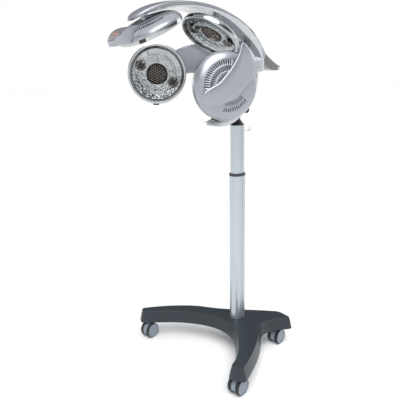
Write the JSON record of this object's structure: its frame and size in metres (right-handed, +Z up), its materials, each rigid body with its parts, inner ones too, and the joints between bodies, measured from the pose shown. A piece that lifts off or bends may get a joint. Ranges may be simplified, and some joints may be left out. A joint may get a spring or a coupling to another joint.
{
  "type": "salon air mover",
  "caption": "Free-standing salon air mover: round heated fan heads on curved hinged wings over a telescopic column and a three-legged base on twin-wheel casters.",
  "frame": {"origin": "on the floor, under the column's axis", "axes": "+Z up; -Y towards the seated client; +X towards the side with the tilt knob"},
  "size_m": [0.771, 0.9313, 1.605],
  "materials": {
    "base_plastic": "fine-grained",
    "painted_steel": "satin",
    "anodised_tube": "satin anodised",
    "dark_plastic": "satin",
    "bright_steel": "bright",
    "black_plastic": "satin",
    "silver_plastic": "silver lacquer",
    "light_plastic": "light silver lacquer",
    "display_black": "gloss",
    "key_orange": "satin",
    "caster_grey": "satin",
    "tyre_rubber": "matt",
    "chrome_ring": "chrome-plated",
    "reflector_metal": "bright embossed",
    "black_mesh": "matt black",
    "fan_plastic": "satin",
    "motor_steel": "satin",
    "lamp_quartz": "frosted quartz",
    "black_clip": "satin"
  },
  "bodies": {
    "base": {"base_cover": "base_plastic", "base_frame": "painted_steel", "lower_tube": "anodised_tube", "column_collar": "dark_plastic"},
    "mast": {"upper_tube": "anodised_tube", "accessory_hook": "bright_steel"},
    "swivel": {"tilt_socket": "black_plastic"},
    "arm": {"rear_body": "silver_plastic", "inner_cover": "light_plastic", "hinge_pins": "bright_steel", "top_wing": "silver_plastic", "wing_liner": "light_plastic"},
    "tilt_knob": {"tilt_knob": "black_plastic"},
    "near_arm": {"near_wing": "silver_plastic"},
    "far_arm": {"far_wing": "silver_plastic"},
    "front_head": {"front_head_back_shell": "silver_plastic", "front_head_ring": "chrome_ring", "front_head_reflector": "reflector_metal", "front_head_fan_grille": "black_mesh", "front_head_motor": "motor_steel", "front_head_lamps": "lamp_quartz", "front_head_ring_fixings": "black_clip", "control_nose": "silver_plastic", "display_window": "display_black"},
    "front_fan": {"front_head_fan": "fan_plastic"},
    "rear_head": {"rear_head_back_shell": "silver_plastic", "rear_head_ring": "chrome_ring", "rear_head_reflector": "reflector_metal", "rear_head_fan_grille": "black_mesh", "rear_head_motor": "motor_steel", "rear_head_lamps": "lamp_quartz", "rear_head_ring_fixings": "black_clip"},
    "rear_fan": {"rear_head_fan": "fan_plastic"},
    "far_head": {"far_head_back_shell": "silver_plastic", "far_head_ring": "chrome_ring", "far_head_reflector": "reflector_metal", "far_head_fan_grille": "black_mesh", "far_head_motor": "motor_steel", "far_head_lamps": "lamp_quartz", "far_head_ring_fixings": "black_clip"},
    "far_fan": {"far_head_fan": "fan_plastic"},
    "near_head": {"near_head_back_shell": "silver_plastic", "near_head_ring": "chrome_ring", "near_head_reflector": "reflector_metal", "near_head_fan_grille": "black_mesh", "near_head_motor": "motor_steel", "near_head_lamps": "lamp_quartz", "near_head_ring_fixings": "black_clip"},
    "near_fan": {"near_head_fan": "fan_plastic"},
    "plus_key": {"plus_key": "key_orange"},
    "minus_key": {"minus_key": "key_orange"},
    "left_caster": {"left_caster_fork": "caster_grey"},
    "left_wheel_a": {"left_caster_wheel_a": "tyre_rubber"},
    "left_wheel_b": {"left_caster_wheel_b": "tyre_rubber"},
    "front_caster": {"front_caster_fork": "caster_grey"},
    "front_wheel_a": {"front_caster_wheel_a": "tyre_rubber"},
    "front_wheel_b": {"front_caster_wheel_b": "tyre_rubber"},
    "right_caster": {"right_caster_fork": "caster_grey"},
    "right_wheel_a": {"right_caster_wheel_a": "tyre_rubber"},
    "right_wheel_b": {"right_caster_wheel_b": "tyre_rubber"}
  },
  "joints": [
    {"name": "column_slide", "type": "slide", "parent": "base", "child": "mast", "axis": [0, 0, 1], "range_m": [-0.17, 0.18]},
    {"name": "head_swivel", "type": "hinge", "parent": "mast", "child": "swivel", "pos_m": [0, 0, 1.1], "axis": [0, 0, 1], "range_deg": [-90, 90]},
    {"name": "head_tilt", "type": "hinge", "parent": "swivel", "child": "arm", "pos_m": [0, 0, 1.166], "axis": [1, 0, 0], "range_deg": [-10, 15]},
    {"name": "knob_turn", "type": "hinge", "parent": "arm", "child": "tilt_knob", "pos_m": [0.05, 0, 1.166], "axis": [1, 0, 0], "range_deg": [-180, 180]},
    {"name": "near_wing_swing", "type": "hinge", "parent": "arm", "child": "near_arm", "pos_m": [0.0545, 0.052, 1.355], "axis": [0, 0, 1], "range_deg": [-8, 12]},
    {"name": "far_wing_swing", "type": "hinge", "parent": "arm", "child": "far_arm", "pos_m": [-0.0545, 0.052, 1.355], "axis": [0, 0, -1], "range_deg": [-8, 12]},
    {"name": "front_head_tilt", "type": "hinge", "parent": "arm", "child": "front_head", "pos_m": [0, -0.49075, 1.54027], "axis": [1, 0, 0], "range_deg": [-10, 0]},
    {"name": "front_fan_spin", "type": "hinge", "parent": "front_head", "child": "front_fan", "pos_m": [0, -0.4612, 1.4835], "axis": [0, -0.4617, 0.887], "continuous": true},
    {"name": "rear_head_tilt", "type": "hinge", "parent": "arm", "child": "rear_head", "pos_m": [0, -0.12638, 1.52278], "axis": [1, 0, 0], "range_deg": [0, 14]},
    {"name": "rear_fan_spin", "type": "hinge", "parent": "rear_head", "child": "rear_fan", "pos_m": [0, -0.164, 1.471], "axis": [0, 0.5878, 0.809], "continuous": true},
    {"name": "far_head_tilt", "type": "hinge", "parent": "far_arm", "child": "far_head", "pos_m": [-0.27118, -0.24762, 1.328], "axis": [0, 0, -1], "range_deg": [0, 15]},
    {"name": "far_fan_spin", "type": "hinge", "parent": "far_head", "child": "far_fan", "pos_m": [-0.218, -0.285, 1.328], "axis": [-0.8181, 0.575, 0], "continuous": true},
    {"name": "near_head_tilt", "type": "hinge", "parent": "near_arm", "child": "near_head", "pos_m": [0.27908, -0.30723, 1.278], "axis": [0, 0, 1], "range_deg": [0, 15]},
    {"name": "near_fan_spin", "type": "hinge", "parent": "near_head", "child": "near_fan", "pos_m": [0.218, -0.285, 1.278], "axis": [0.9397, -0.342, 0], "continuous": true},
    {"name": "plus_key_press", "type": "slide", "parent": "front_head", "child": "plus_key", "axis": [0, 0.7373, -0.6756], "range_m": [0, 0.0015], "stiffness_N_per_m": 300},
    {"name": "minus_key_press", "type": "slide", "parent": "front_head", "child": "minus_key", "axis": [0, 0.7373, -0.6756], "range_m": [0, 0.0015], "stiffness_N_per_m": 300},
    {"name": "left_caster_swivel", "type": "hinge", "parent": "base", "child": "left_caster", "pos_m": [-0.34411, -0.28564, 0.1], "axis": [0, 0, 1], "continuous": true},
    {"name": "left_wheel_a_spin", "type": "hinge", "parent": "left_caster", "child": "left_wheel_a", "pos_m": [-0.3416, -0.30346, 0.0375], "axis": [-0.9903, -0.1392, 0], "continuous": true},
    {"name": "left_wheel_b_spin", "type": "hinge", "parent": "left_caster", "child": "left_wheel_b", "pos_m": [-0.3416, -0.30346, 0.0375], "axis": [-0.9903, -0.1392, 0], "continuous": true},
    {"name": "front_caster_swivel", "type": "hinge", "parent": "base", "child": "front_caster", "pos_m": [0.31017, -0.28376, 0.1], "axis": [0, 0, 1], "continuous": true},
    {"name": "front_wheel_a_spin", "type": "hinge", "parent": "front_caster", "child": "front_wheel_a", "pos_m": [0.31267, -0.30158, 0.0375], "axis": [-0.9903, -0.1392, 0], "continuous": true},
    {"name": "front_wheel_b_spin", "type": "hinge", "parent": "front_caster", "child": "front_wheel_b", "pos_m": [0.31267, -0.30158, 0.0375], "axis": [-0.9903, -0.1392, 0], "continuous": true},
    {"name": "right_caster_swivel", "type": "hinge", "parent": "base", "child": "right_caster", "pos_m": [0.13676, 0.15677, 0.1], "axis": [0, 0, 1], "continuous": true},
    {"name": "right_wheel_a_spin", "type": "hinge", "parent": "right_caster", "child": "right_wheel_a", "pos_m": [0.13927, 0.13894, 0.0375], "axis": [-0.9903, -0.1392, 0], "continuous": true},
    {"name": "right_wheel_b_spin", "type": "hinge", "parent": "right_caster", "child": "right_wheel_b", "pos_m": [0.13927, 0.13894, 0.0375], "axis": [-0.9903, -0.1392, 0], "continuous": true}
  ]
}
